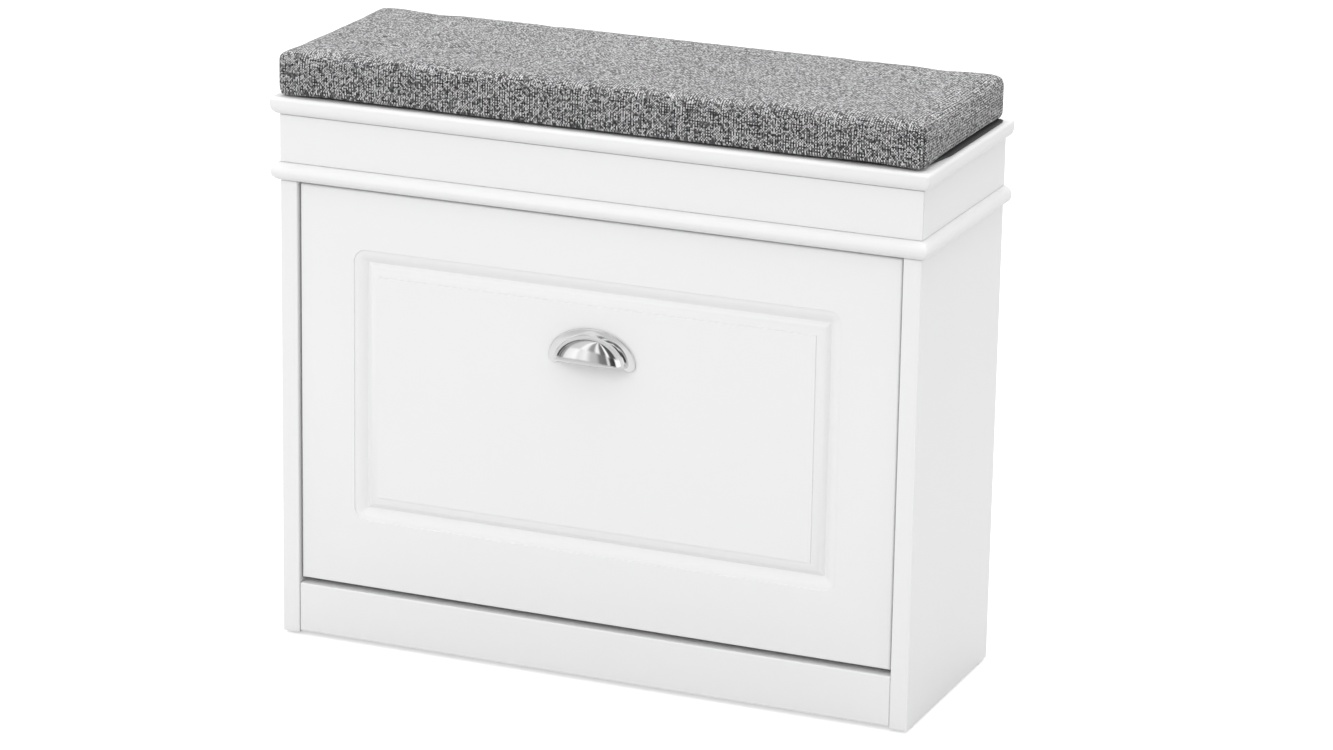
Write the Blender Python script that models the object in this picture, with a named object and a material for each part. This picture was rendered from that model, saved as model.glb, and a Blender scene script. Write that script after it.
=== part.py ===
"""Entryway bench: a slim white shoe cabinet with one tip-out flap below a padded seat.

Metres, Z up, the front facing -Y. The origin is on the floor, under the middle of the bench.
"""

import math

import bmesh
import bpy
from mathutils import Vector

# Carcass
BENCH_W = 0.600  # over the ends of the two moulded boards
OVERHANG = 0.007  # moulded boards past the carcass, at the front and at both ends
FRONT = -0.093  # front edges of the side panels
BACK = 0.110  # back edges, the wall side
BOARD = 0.016  # foil-faced board
FIT = 0.0003  # air left between pieces that touch
EDGE = 0.0010  # rounding of a foiled edge
HALF_W = BENCH_W / 2 - OVERHANG  # outer face of a side panel
INNER_X = HALF_W - BOARD  # inner face of a side panel
GLIDE_H = 0.002
GLIDE_R = 0.007
MID_Z = 0.413  # underside of the middle board
TOP_Z = 0.471  # underside of the top board
SEAT_Z = TOP_Z + BOARD
PLINTH_Z = (0.004, 0.0485)
PLINTH_SETBACK = 0.001
BOTTOM_Z = 0.0305  # underside of the bottom panel
BACK_PANEL = 0.003
BACK_PANEL_Y = BACK - 0.008  # front face of the back panel
BOTTOM_Y = (FRONT + PLINTH_SETBACK + BOARD + FIT, BACK_PANEL_Y - FIT)
PLAN_CORNER = 0.004  # corners of the moulded boards, seen from above
ARC_STEPS = 4  # faces round a quarter circle

# Flap
DOOR_Y = FRONT + 0.003  # front face of the door
DOOR_Z = (0.0535, 0.411)
DOOR_HALF_W = INNER_X - 0.0017
DOOR_CORNER = 0.0012
DOOR_ROUND = 0.002
DOOR_BACK = DOOR_Y + BOARD
GROOVE_SIDE = 0.051  # door edge to groove, at both sides
GROOVE_TOP = 0.052
GROOVE_BOTTOM = 0.061
GROOVE_W = 0.023
GROOVE_DEEP = 0.0055
GROOVE_STEP = 0.001
PIVOT = Vector((0.0, FRONT + 0.027, 0.124))
PIN_R = 0.003
PIN_CLEAR = 0.00005  # running clearance of the pin in its bush
PIN_REACH = 0.0285  # pin length
CHEEK_X = (INNER_X - 0.008, INNER_X - 0.005)  # inner and outer face of a cheek plate
OPEN_ANGLE = 45.0
PEG_R = 0.004
PEG_RADIUS = 0.120  # stop peg to pivot
PEG_ANGLE = 40.0  # the peg above the pivot's level, seen from the side
SLOT_CLEAR = 0.0005
SLOT_SPARE = 1.0  # degrees of slot left past each end of the travel
SHELF = 0.008
TRAY_Z = 0.064
TRAY_DEEP = 0.146
DIVIDER_Z = 0.205
DIVIDER_DEEP = 0.085
FENCE_H = 0.078
LIP_H = 0.030

# Cup pull, measured from the door's front face
PULL_Z = 0.2885  # level of the widest part of its flange
PULL_HALF_W = 0.040
PULL_RISE = 0.028
PULL_LOBE_R = 0.0055
PULL_PLATE = 0.002
DOME = (0.0332, 0.0197, 0.0264)  # half width, reach and height of the hood
DOME_Z = 0.2858  # level where the hood's lower edge meets the flange
DOME_WALL = 0.0016
DOME_LIFT = 0.0045  # the lip's middle above its ends
POST_X = 0.020
POST_R = 0.0035
POST_LEN = 0.0120

# Seat
CUSHION_X = 0.2965
CUSHION_Y = (FRONT - 0.005, BACK - 0.002)
CUSHION_H = 0.0385
CUSHION_ROUND = 0.009
LINING_H = 0.0019
LINING_INSET = 0.010

# Fittings
CAM_R = 0.0075
CAM_H = 0.0112
CAM_X = INNER_X - 0.024
CAM_Y = (FRONT + 0.040, BACK - 0.035)
BOLT_R = 0.003
BOLT_X = (INNER_X - 0.021, INNER_X + 0.010)
DOWEL_R = 0.004
DOWEL_Z = (0.399, 0.424)
DOWEL_Y = (FRONT + 0.040, BACK - 0.040)
SCREW_R = 0.00175
SCREW_HEAD = (0.0035, 0.0022)  # radius and height of a pan head
CATCH_HALF_W = 0.023
CATCH_DEEP = 0.014
CATCH_H = 0.013
STRIKE = (0.008, 0.001, 0.028)  # half width, thickness and height of the strike plate
STRIKE_TOP = MID_Z - 0.004
BRACKET_HALF_W = 0.010
BRACKET_LEG = 0.028
BRACKET_T = 0.002
FINE_SIDES = 32
SIDES = 16

LEFT_RIGHT = ((-1, "left"), (1, "right"))
# name: base colour, roughness, metallic
FINISHES = {
    "white_foil": ((0.86, 0.86, 0.855), 0.38, 0.0),
    "back_board": ((0.80, 0.80, 0.79), 0.60, 0.0),
    "white_plastic": ((0.80, 0.80, 0.79), 0.45, 0.0),
    "grey_plastic": ((0.23, 0.23, 0.24), 0.50, 0.0),
    "beech": ((0.62, 0.42, 0.24), 0.60, 0.0),
    "zinc": ((0.62, 0.63, 0.64), 0.35, 1.0),
    "polished_nickel": ((0.72, 0.71, 0.69), 0.16, 1.0),
    "grey_fabric": ((0.26, 0.26, 0.27), 0.92, 0.0),
    "dark_lining": ((0.035, 0.035, 0.037), 0.90, 0.0),
}


def clear_scene():
    for obj in list(bpy.data.objects):
        bpy.data.objects.remove(obj, do_unlink=True)


def finish(name):
    """The named material, made on first use."""
    mat = bpy.data.materials.get(name)
    if mat is None:
        colour, roughness, metallic = FINISHES[name]
        mat = bpy.data.materials.new(name)
        mat.use_nodes = True
        shader = mat.node_tree.nodes["Principled BSDF"]
        shader.inputs["Base Color"].default_value = (*colour, 1.0)
        shader.inputs["Roughness"].default_value = roughness
        shader.inputs["Metallic"].default_value = metallic
        mat.diffuse_color = (*colour, 1.0)
    return mat


def place(name, bm, mat, at, parent=None):
    """Turns bm, whose points are about the world point `at`, into a named object."""
    bmesh.ops.recalc_face_normals(bm, faces=bm.faces)
    mesh = bpy.data.meshes.new(name)
    bm.to_mesh(mesh)
    bm.free()
    obj = bpy.data.objects.new(name, mesh)
    bpy.context.scene.collection.objects.link(obj)
    if mat:
        mesh.materials.append(finish(mat))
    obj.location = at - parent.location if parent else at
    obj.parent = parent
    return obj


def empty(name, at):
    obj = bpy.data.objects.new(name, None)
    obj.location = at
    obj.empty_display_size = 0.05
    bpy.context.scene.collection.objects.link(obj)
    return obj


def loft(sections, closed=False):
    """A bmesh skinned over equal rings of points, capped at both ends or closed on itself."""
    bm = bmesh.new()
    rings = [[bm.verts.new(p) for p in ring] for ring in sections]
    pairs = list(zip(rings, rings[1:]))
    if closed:
        pairs.append((rings[-1], rings[0]))
    else:
        bm.faces.new(rings[0])
        bm.faces.new(rings[-1])
    for one, two in pairs:
        for k in range(len(one)):
            j = (k + 1) % len(one)
            bm.faces.new((one[k], one[j], two[j], two[k]))
    return bm


def block(name, low, high, mat, edge=0.0, parent=None, steps=2):
    """A box between two corners, with its edges rounded by `edge`."""
    low, high = Vector(low), Vector(high)
    bm = bmesh.new()
    bmesh.ops.create_cube(bm, size=1.0)
    bmesh.ops.scale(bm, vec=high - low, verts=bm.verts)
    obj = place(name, bm, mat, (low + high) / 2, parent)
    if edge:
        bevel = obj.modifiers.new("rounded_edges", "BEVEL")
        bevel.width = edge
        bevel.segments = steps
        bevel.limit_method = "NONE"
    return obj


def turned(name, profile, at, mat, axis="Z", sign=1, sides=SIDES, closed=False, parent=None):
    """A round piece from (radius, distance) pairs along an axis, starting at the point `at`."""
    spin = {"X": lambda a, r, h: (sign * h, r * math.cos(a), r * math.sin(a)),
            "Y": lambda a, r, h: (r * math.cos(a), sign * h, r * math.sin(a)),
            "Z": lambda a, r, h: (r * math.cos(a), r * math.sin(a), sign * h)}[axis]
    angles = [2 * math.pi * k / sides for k in range(sides)]
    rings = [[spin(a, r, h) for a in angles] for r, h in profile]
    return place(name, loft(rings, closed), mat, Vector(at), parent)


def prism(name, outline, x0, x1, mat, parent=None):
    """A plate with a (y, z) outline, between two x planes."""
    at = Vector(((x0 + x1) / 2, 0.0, 0.0))
    half = (x1 - x0) / 2
    rings = [[(x, y, z) for y, z in outline] for x in (-half, half)]
    return place(name, loft(rings), mat, at, parent)


def slab(name, outline, z0, z1):
    """A strip of foiled board with an (x, y) outline, between two levels."""
    at = Vector((0.0, 0.0, (z0 + z1) / 2))
    half = (z1 - z0) / 2
    return place(name, loft([[(x, y, z) for x, y in outline] for z in (-half, half)]), "white_foil", at)


def combine(obj, tool, operation):
    tool.hide_render = True
    tool.display_type = "WIRE"
    boolean = obj.modifiers.new(f"{operation.lower()}_{tool.name}", "BOOLEAN")
    boolean.operation = operation
    boolean.solver = "EXACT"
    boolean.object = tool


def drill(obj, name, radius, at, axis, length, sign=1, parent=None, sides=24):
    """Cuts a round hole that starts at the point `at` and runs along an axis."""
    tool = turned(name, ((radius, 0.0), (radius, length)), at, None, axis, sign, sides, parent=parent)
    combine(obj, tool, "DIFFERENCE")


def rounded_ring(x0, x1, y0, y1, radii):
    """Points of a rectangle with rounded corners, from the (x1, y1) corner round to (x1, y0)."""
    corners = ((x1, y1, -1, -1), (x0, y1, 1, -1), (x0, y0, 1, 1), (x1, y0, -1, 1))
    points = []
    for quarter, ((x, y, inward_x, inward_y), radius) in enumerate(zip(corners, radii)):
        for k in range(ARC_STEPS + 1):
            angle = math.radians(90 * (quarter + k / ARC_STEPS))
            points.append((x + inward_x * radius + radius * math.cos(angle),
                           y + inward_y * radius + radius * math.sin(angle)))
    return points


def screw(name, at, axis, sign, length, parent=None):
    """A pan-head screw; its head's underside is at the point `at`."""
    head_r, head_h = SCREW_HEAD
    profile = ((head_r * 0.55, -head_h), (head_r * 0.92, -head_h * 0.7), (head_r, 0.0), (SCREW_R, 0.0),
               (SCREW_R, length - 0.0025), (SCREW_R * 0.3, length))
    return turned(name, profile, at, "zinc", axis, sign, 12, parent=parent)


# Carcass pieces

def side_panels():
    """Two full-height panels with holes for cam bolts, dowels, the pivot bush and the stop peg."""
    peg = peg_centre()
    for side, word in LEFT_RIGHT:
        inner, outer = side * INNER_X, side * HALF_W
        panel = block(f"side_panel_{word}", (min(inner, outer), FRONT, GLIDE_H),
                      (max(inner, outer), BACK, MID_Z - FIT), "white_foil", EDGE)
        for k, y in enumerate(CAM_Y):
            drill(panel, f"bolt_hole_{word}_{k}", BOLT_R + FIT, (inner - side * 0.001, y, BOTTOM_Z + BOARD / 2),
                  "X", 0.0115, side)
        for k, y in enumerate(DOWEL_Y):
            drill(panel, f"dowel_hole_{word}_{k}", DOWEL_R + FIT, (side * (HALF_W - BOARD / 2), y,
                                                                 DOWEL_Z[0] - 0.001), "Z", 0.02)
        drill(panel, f"bush_hole_{word}", 0.0055, (inner - side * 0.001, PIVOT.y, PIVOT.z), "X", 0.0115, side)
        drill(panel, f"peg_hole_{word}", 0.0033, (inner - side * 0.001, peg[0], peg[1]), "X", 0.0105, side)


def bottom_panel():
    """The cabinet floor, bored from its ends and from below for the cam fittings."""
    half = INNER_X - FIT
    panel = block("bottom_panel", (-half, BOTTOM_Y[0], BOTTOM_Z), (half, BOTTOM_Y[1], BOTTOM_Z + BOARD),
                  "white_foil", EDGE)
    for side, word in LEFT_RIGHT:
        for k, y in enumerate(CAM_Y):
            drill(panel, f"cam_hole_{word}_{k}", CAM_R + FIT, (side * CAM_X, y, BOTTOM_Z - 0.001), "Z",
                  CAM_H + 0.0018)
            drill(panel, f"cam_bore_{word}_{k}", BOLT_R + FIT, (side * (half + 0.001), y, BOTTOM_Z + BOARD / 2),
                  "X", 0.020, -side)


def plinth():
    half = INNER_X - FIT
    block("plinth", (-half, FRONT + PLINTH_SETBACK, PLINTH_Z[0]),
          (half, FRONT + PLINTH_SETBACK + BOARD, PLINTH_Z[1]), "white_foil", EDGE)


def back_panel():
    half = INNER_X - FIT
    block("back_panel", (-half, BACK_PANEL_Y, BOTTOM_Z), (half, BACK_PANEL_Y + BACK_PANEL, MID_Z - FIT),
          "back_board")


def moulded_board(name, z, profile):
    """A board whose front and end edges follow (inset, height) pairs; its back edge is plain."""
    half = BENCH_W / 2
    centre = Vector((0.0, (FRONT + BACK) / 2, z))
    front, back = FRONT - OVERHANG - centre.y, BACK - centre.y
    rings = []
    for inset, height in profile:
        corner = max(PLAN_CORNER - inset, 0.0008)
        ring = rounded_ring(inset - half, half - inset, front + inset, back, (0.0008, 0.0008, corner, corner))
        rings.append([(x, y, height) for x, y in ring])
    return place(name, loft(rings), "white_foil", centre)


def quarter(inset, rise, base, rising):
    """(inset, height) pairs round a quarter ellipse, from a face to the edge or back again."""
    pairs = []
    for k in range(ARC_STEPS + 1):
        angle = math.radians(90 * k / ARC_STEPS)
        if rising:
            pairs.append((inset * (1 - math.sin(angle)), base + rise * (1 - math.cos(angle))))
        else:
            pairs.append((inset * (1 - math.cos(angle)), base + rise * math.sin(angle)))
    return pairs


def middle_board():
    """The lower moulding: a full bullnose at the front and at both ends."""
    nose = BOARD / 2
    board = moulded_board("middle_board", MID_Z, quarter(nose, nose, 0, True) + quarter(nose, nose, nose, False)[1:])
    for side, word in LEFT_RIGHT:
        for k, y in enumerate(DOWEL_Y):
            drill(board, f"dowel_socket_{word}_{k}", DOWEL_R + FIT,
                  (side * (HALF_W - BOARD / 2), y, MID_Z - 0.001), "Z", 0.0125)
    for k, side in enumerate((-1, 1)):
        drill(board, f"catch_pilot_{k}", SCREW_R + FIT, (side * CATCH_HALF_W * 0.72, catch_y(), MID_Z - 0.001),
              "Z", 0.009)
    drill(board, "bracket_pilot", SCREW_R + FIT, (0, BACK_PANEL_Y - FIT - BRACKET_LEG / 2, MID_Z - 0.001),
          "Z", 0.011)


def top_board():
    """The seat board: a softer curve under its edge and a small rounding above it."""
    below, above = (0.0070, 0.0105), (0.0030, 0.0035)
    moulded_board("top_board", TOP_Z, quarter(*below, 0, True) + quarter(*above, BOARD - above[1], False))


def frieze():
    """The four strips between the two moulded boards, mitred at the front corners."""
    low, high = MID_Z + BOARD + FIT, TOP_Z - FIT
    half = INNER_X - FIT
    turn = FRONT + BOARD
    slab("frieze_front", ((-HALF_W, FRONT), (HALF_W, FRONT), (INNER_X, turn), (-INNER_X, turn)), low, high)
    for side, word in LEFT_RIGHT:
        slab(f"frieze_{word}", ((side * HALF_W, FRONT + 1.5 * FIT), (side * HALF_W, BACK), (side * INNER_X, BACK),
                                (side * INNER_X, turn + 1.5 * FIT)), low, high)
    block("frieze_back", (-half, BACK - BOARD, low), (half, BACK, high), "white_foil", EDGE)


def foot_glides():
    """Nail-on glides under the corners of the side panels."""
    for side, word in LEFT_RIGHT:
        for y, end in ((FRONT + 0.018, "front"), (BACK - 0.018, "back")):
            turned(f"foot_glide_{end}_{word}", ((GLIDE_R * 0.85, 0.0), (GLIDE_R, 0.0005), (GLIDE_R, GLIDE_H - FIT)),
                   (side * (HALF_W - BOARD / 2), y, 0.0), "white_plastic")


def cam_fittings():
    """Cams in the bottom panel, each drawing on a bolt that is driven into a side panel."""
    level = BOTTOM_Z + BOARD / 2
    for side, word in LEFT_RIGHT:
        for y, end in zip(CAM_Y, ("front", "back")):
            cam = turned(f"cam_{end}_{word}", ((CAM_R - 0.0004, 0.0), (CAM_R, 0.0004), (CAM_R, CAM_H)),
                         (side * CAM_X, y, BOTTOM_Z + FIT), "zinc", sides=24)
            drill(cam, f"cam_notch_{end}_{word}", BOLT_R + 0.0006, (side * (CAM_X - 0.001), y, level), "X", 0.012,
                  side)
            turned(f"cam_bolt_{end}_{word}", ((BOLT_R * 0.8, 0.0), (BOLT_R, 0.0005),
                                              (BOLT_R, BOLT_X[1] - BOLT_X[0] - 0.001),
                                              (BOLT_R * 0.6, BOLT_X[1] - BOLT_X[0])),
                   (side * BOLT_X[0], y, level), "zinc", "X", side)


def dowels():
    for side, word in LEFT_RIGHT:
        for y, end in zip(DOWEL_Y, ("front", "back")):
            length = DOWEL_Z[1] - DOWEL_Z[0]
            turned(f"dowel_{end}_{word}", ((DOWEL_R - 0.0008, 0.0), (DOWEL_R, 0.001), (DOWEL_R, length - 0.001),
                                           (DOWEL_R - 0.0008, length)),
                   (side * (HALF_W - BOARD / 2), y, DOWEL_Z[0]), "beech")


def catch_y():
    """Middle of the magnetic catch, whose front face just clears the strike plate."""
    return DOOR_BACK + FIT + STRIKE[1] + FIT + CATCH_DEEP / 2


def magnetic_catch():
    """The catch that holds the flap shut, screwed up into the middle board."""
    y = catch_y()
    top = MID_Z - FIT
    catch = block("magnetic_catch", (-CATCH_HALF_W, y - CATCH_DEEP / 2, top - CATCH_H),
                  (CATCH_HALF_W, y + CATCH_DEEP / 2, top), "white_plastic", 0.0008)
    for side, word in LEFT_RIGHT:
        x = side * CATCH_HALF_W * 0.72
        drill(catch, f"catch_hole_{word}", SCREW_R + FIT, (x, y, top - CATCH_H - 0.001), "Z", CATCH_H + 0.002)
        screw(f"catch_screw_{word}", (x, y, top - CATCH_H - FIT), "Z", 1, CATCH_H + 0.007)


def wall_bracket():
    """The angle bracket that ties the bench to the wall, inside at the top of the back."""
    y, z = BACK_PANEL_Y - FIT, MID_Z - FIT
    outline = ((y, z), (y, z - BRACKET_LEG), (y - BRACKET_T, z - BRACKET_LEG), (y - BRACKET_T, z - BRACKET_T),
               (y - BRACKET_LEG, z - BRACKET_T), (y - BRACKET_LEG, z))
    bracket = prism("wall_bracket", outline, -BRACKET_HALF_W, BRACKET_HALF_W, "zinc")
    middle = BRACKET_LEG / 2
    drill(bracket, "bracket_hole_up", SCREW_R + FIT, (0, y - middle, z - 0.005), "Z", 0.008)
    drill(bracket, "bracket_hole_wall", 0.0025, (0, y + 0.001, z - middle - 0.004), "Y", 0.006, -1)
    screw("wall_bracket_screw", (0, y - middle, z - BRACKET_T - FIT), "Z", 1, 0.011)


# Pivot and stop

def peg_centre():
    """(y, z) of the stop peg."""
    angle = math.radians(PEG_ANGLE)
    return PIVOT.y + PEG_RADIUS * math.cos(angle), PIVOT.z + PEG_RADIUS * math.sin(angle)


def pivot_bushes():
    """Flanged bushes let into the side panels, in which the flap's pins turn."""
    bore, sleeve, flange = PIN_R + PIN_CLEAR, 0.0050, 0.0080
    for side, word in LEFT_RIGHT:
        profile = ((bore, -0.0018), (flange, -0.0018), (flange, -FIT), (sleeve, -FIT), (sleeve, 0.0095),
                   (bore, 0.0095))
        turned(f"pivot_bush_{word}", profile, (side * INNER_X, PIVOT.y, PIVOT.z), "white_plastic", "X", side,
               FINE_SIDES, closed=True)


def stop_pegs():
    """Pegs in the side panels that run in the cheeks' curved slots and end the flap's travel."""
    y, z = peg_centre()
    reach = INNER_X - CHEEK_X[0] + 0.001
    for side, word in LEFT_RIGHT:
        profile = ((PEG_R - 0.0005, -reach), (PEG_R, 0.0005 - reach), (PEG_R, -FIT), (0.0030, -FIT),
                   (0.0030, 0.0085))
        turned(f"stop_peg_{word}", profile, (side * INNER_X, y, z), "zinc", "X", side, 24)


# Flap pieces, all hung from one empty on the pivot's axis

def groove_profile():
    """(inset, depth) pairs across the routed groove: two rounded slopes that meet in a valley."""
    half = GROOVE_W / 2
    lip = 0.0003
    slope = []
    for k in range(ARC_STEPS + 1):
        angle = math.radians(78 * k / ARC_STEPS)
        across = math.sin(angle) / math.sin(math.radians(78))
        down = (1 - math.cos(angle)) / (1 - math.cos(math.radians(78)))
        slope.append((lip + (half - lip) * across, GROOVE_STEP + (GROOVE_DEEP - GROOVE_STEP) * down))
    mirrored = [(GROOVE_W - inset, depth) for inset, depth in reversed(slope[:-1])]
    return [(0.0, 0.0)] + slope + mirrored + [(GROOVE_W, 0.0)]


def door_panel(pivot):
    """The flap's front, with a routed frame groove and holes for the pull, cheeks and strike."""
    half, low, high = DOOR_HALF_W, DOOR_Z[0], DOOR_Z[1]
    at = Vector((0.0, DOOR_Y, 0.0))
    edge = ((0.0, BOARD), (0.0, DOOR_ROUND), (DOOR_ROUND * 0.29, DOOR_ROUND * 0.29), (DOOR_ROUND, 0.0))
    rings = [(rounded_ring(inset - half, half - inset, low + inset, high - inset, (DOOR_CORNER,) * 4), depth)
             for inset, depth in edge]
    for inset, depth in groove_profile():
        corner = max(GROOVE_W / 2 - inset, 0.0008)
        across, bottom, top = GROOVE_SIDE + inset, GROOVE_BOTTOM + inset, GROOVE_TOP + inset
        rings.append((rounded_ring(across - half, half - across, low + bottom, high - top, (corner,) * 4), depth))
    bm = loft([[(x, depth, z) for x, z in ring] for ring, depth in rings])
    door = place("door_panel", bm, "white_foil", at, pivot)
    for side, word in LEFT_RIGHT:
        drill(door, f"pull_hole_{word}", SCREW_R + FIT, (side * POST_X, DOOR_Y - 0.001, post_z()), "Y",
              BOARD + 0.002, parent=pivot)
        for k, z in enumerate(cheek_screw_levels()):
            drill(door, f"cheek_pilot_{word}_{k}", SCREW_R + FIT, (side * cheek_screw_x(), DOOR_BACK + 0.001, z),
                  "Y", 0.0115, -1, parent=pivot)
    drill(door, "strike_pilot", SCREW_R + FIT, (0, DOOR_BACK + 0.001, strike_z()), "Y", 0.0115, -1, parent=pivot)


def post_z():
    return DOME_Z + 0.0085


def cup_pull(pivot):
    """A hooded pull: an arched flange with rounded ends, a half-dome hood and two screw posts."""
    face = DOOR_Y - FIT
    at = Vector((0.0, face, DOME_Z))
    hood = hood_mesh()
    pull = place("cup_pull", hood, "polished_nickel", at, pivot)
    combine(pull, flange_tool(at, pivot), "UNION")
    for side, word in LEFT_RIGHT:
        post = turned(f"pull_post_{word}", ((POST_R, 0.0), (POST_R, POST_LEN)), (side * POST_X, face, post_z()),
                      None, "Y", -1, 20, parent=pivot)
        combine(pull, post, "UNION")
    for side, word in LEFT_RIGHT:
        drill(pull, f"post_thread_{word}", SCREW_R + FIT, (side * POST_X, face + 0.001, post_z()), "Y", 0.0085, -1,
              parent=pivot)


def hood_mesh():
    """A quarter ellipsoid shell, open below, whose lower edge rises towards the front."""
    around, out = 20, 8
    bm = bmesh.new()
    skins = []
    for wall in (0.0, DOME_WALL):
        half, reach, height = (size - wall for size in DOME)
        grid = []
        for i in range(out):
            slant = math.radians(90 * i / out)
            row = []
            for k in range(around + 1):
                turn = math.pi * k / around
                row.append(bm.verts.new((half * math.cos(slant) * math.cos(turn), -reach * math.sin(slant),
                                         height * math.cos(slant) * math.sin(turn) + DOME_LIFT * math.sin(slant))))
            grid.append(row)
        tip = bm.verts.new((0.0, -reach, DOME_LIFT))
        skins.append((grid, tip))
        for one, two in zip(grid, grid[1:]):
            for k in range(around):
                bm.faces.new((one[k], one[k + 1], two[k + 1], two[k]))
        for k in range(around):
            bm.faces.new((grid[-1][k], grid[-1][k + 1], tip))
    (outer, outer_tip), (inner, inner_tip) = skins
    for k in range(around):
        bm.faces.new((outer[0][k], inner[0][k], inner[0][k + 1], outer[0][k + 1]))
    for end in (0, around):
        for i in range(out - 1):
            bm.faces.new((outer[i][end], outer[i + 1][end], inner[i + 1][end], inner[i][end]))
        bm.faces.new((outer[-1][end], outer_tip, inner_tip, inner[-1][end]))
    return bm


def flange_tool(at, pivot):
    """The arched flange, a plate that is united with the hood."""
    lift = PULL_Z - DOME_Z
    inner_half, inner_rise = DOME[0] - DOME_WALL, DOME[2] - DOME_WALL - lift
    lobe_x = PULL_HALF_W - PULL_LOBE_R
    outline = []
    for k in range(25):
        angle = math.pi * k / 24
        outline.append((PULL_HALF_W * math.cos(angle), PULL_RISE * math.sin(angle)))
    for k in range(1, 8):
        angle = math.pi * (1 + k / 8)
        outline.append((-lobe_x + PULL_LOBE_R * math.cos(angle), PULL_LOBE_R * math.sin(angle)))
    for k in range(25):
        angle = math.pi * (1 - k / 24)
        outline.append((inner_half * math.cos(angle), inner_rise * math.sin(angle)))
    for k in range(1, 8):
        angle = math.pi * (1 + k / 8)
        outline.append((lobe_x + PULL_LOBE_R * math.cos(angle), PULL_LOBE_R * math.sin(angle)))
    rings = [[(x, y, z + lift) for x, z in outline] for y in (0.0, -PULL_PLATE)]
    return place("pull_flange", loft(rings), None, at, pivot)


def pull_screws(pivot):
    for side, word in LEFT_RIGHT:
        screw(f"pull_screw_{word}", (side * POST_X, DOOR_BACK + FIT, post_z()), "Y", -1, BOARD + 0.0065, pivot)


def cheek_screw_x():
    return CHEEK_X[0] - 0.009


def cheek_screw_levels():
    return 0.150, 0.340


def cheek_outline():
    """(y, z) outline of a cheek, with every corner inside the sweep that the carcass leaves."""
    y = DOOR_BACK + FIT
    return ((y, 0.058), (y + 0.143, 0.058), (y + 0.149, 0.064), (y + 0.149, 0.160), (y + 0.137, 0.205),
            (y + 0.093, 0.300), (y + 0.041, 0.376), (y + 0.033, 0.380), (y, 0.380))


def slot_outline():
    """(y, z) outline of the curved slot, centred on the pivot."""
    half = PEG_R + SLOT_CLEAR
    high = PEG_ANGLE + SLOT_SPARE
    low = PEG_ANGLE - OPEN_ANGLE - SLOT_SPARE
    steps = 12
    points = []

    def polar(radius, degrees):
        angle = math.radians(degrees)
        return PIVOT.y + radius * math.cos(angle), PIVOT.z + radius * math.sin(angle)

    def end(degrees, turned_by):
        y, z = polar(PEG_RADIUS, degrees)
        for k in range(1, 6):
            angle = math.radians(degrees + turned_by + 30 * k)
            points.append((y + half * math.cos(angle), z + half * math.sin(angle)))

    for k in range(steps + 1):
        points.append(polar(PEG_RADIUS + half, low + (high - low) * k / steps))
    end(high, 0)
    for k in range(steps + 1):
        points.append(polar(PEG_RADIUS - half, high + (low - high) * k / steps))
    end(low, 180)
    return points


def cheeks(pivot):
    """The two moulded end plates of the shoe tray, with flange, ledges, pin boss and slot."""
    y = DOOR_BACK + FIT
    for side, word in LEFT_RIGHT:
        inner, outer = side * CHEEK_X[0], side * CHEEK_X[1]
        reach = side * (CHEEK_X[0] - 0.016)
        cheek = prism(f"cheek_{word}", cheek_outline(), min(inner, outer), max(inner, outer), "grey_plastic",
                      pivot)
        lap = side * (CHEEK_X[0] + 0.001)
        flange = block(f"cheek_flange_{word}", (min(lap, reach), y, 0.080), (max(lap, reach), y + 0.003, 0.370),
                       None, parent=pivot)
        combine(cheek, flange, "UNION")
        ledge = side * (CHEEK_X[0] - 0.010)
        for k, (z, deep) in enumerate(((TRAY_Z, TRAY_DEEP), (DIVIDER_Z, DIVIDER_DEEP))):
            shelf_rest = block(f"cheek_ledge_{word}_{k}", (min(lap, ledge), y + 0.0005, z - FIT - 0.003),
                               (max(lap, ledge), y + deep - 0.015, z - FIT), None, parent=pivot)
            combine(cheek, shelf_rest, "UNION")
        boss = turned(f"cheek_boss_{word}", ((0.0065, 0.0), (0.0065, 0.011)), (lap, PIVOT.y, PIVOT.z), None, "X",
                      -side, 24, parent=pivot)
        combine(cheek, boss, "UNION")
        slot = prism(f"cheek_slot_{word}", slot_outline(), side * CHEEK_X[0] - 0.002 - 0.003 * (side < 0),
                     side * CHEEK_X[0] + 0.002 + 0.003 * (side > 0), None, pivot)
        combine(cheek, slot, "DIFFERENCE")
        drill(cheek, f"pin_hole_{word}", PIN_R + FIT, (side * (CHEEK_X[1] + 0.001), PIVOT.y, PIVOT.z), "X",
              0.016, -side, parent=pivot)
        for k, z in enumerate(cheek_screw_levels()):
            drill(cheek, f"flange_hole_{word}_{k}", SCREW_R + FIT, (side * cheek_screw_x(), y + 0.004, z), "Y",
                  0.005, -1, parent=pivot)
            screw(f"cheek_screw_{word}_{('low', 'high')[k]}", (side * cheek_screw_x(), y + 0.003 + FIT, z), "Y",
                  -1, 0.0125, pivot)


def pivot_pins(pivot):
    """Steel pins held in the cheeks' bosses and turning in the bushes."""
    for side, word in LEFT_RIGHT:
        start = INNER_X + 0.009
        profile = ((PIN_R - 0.0005, 0.0), (PIN_R, 0.0005), (PIN_R, 0.0265), (PIN_R - 0.0005, 0.027))
        turned(f"pivot_pin_{word}", profile, (side * start, PIVOT.y, PIVOT.z), "zinc", "X", -side,
               FINE_SIDES, parent=pivot)


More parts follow.
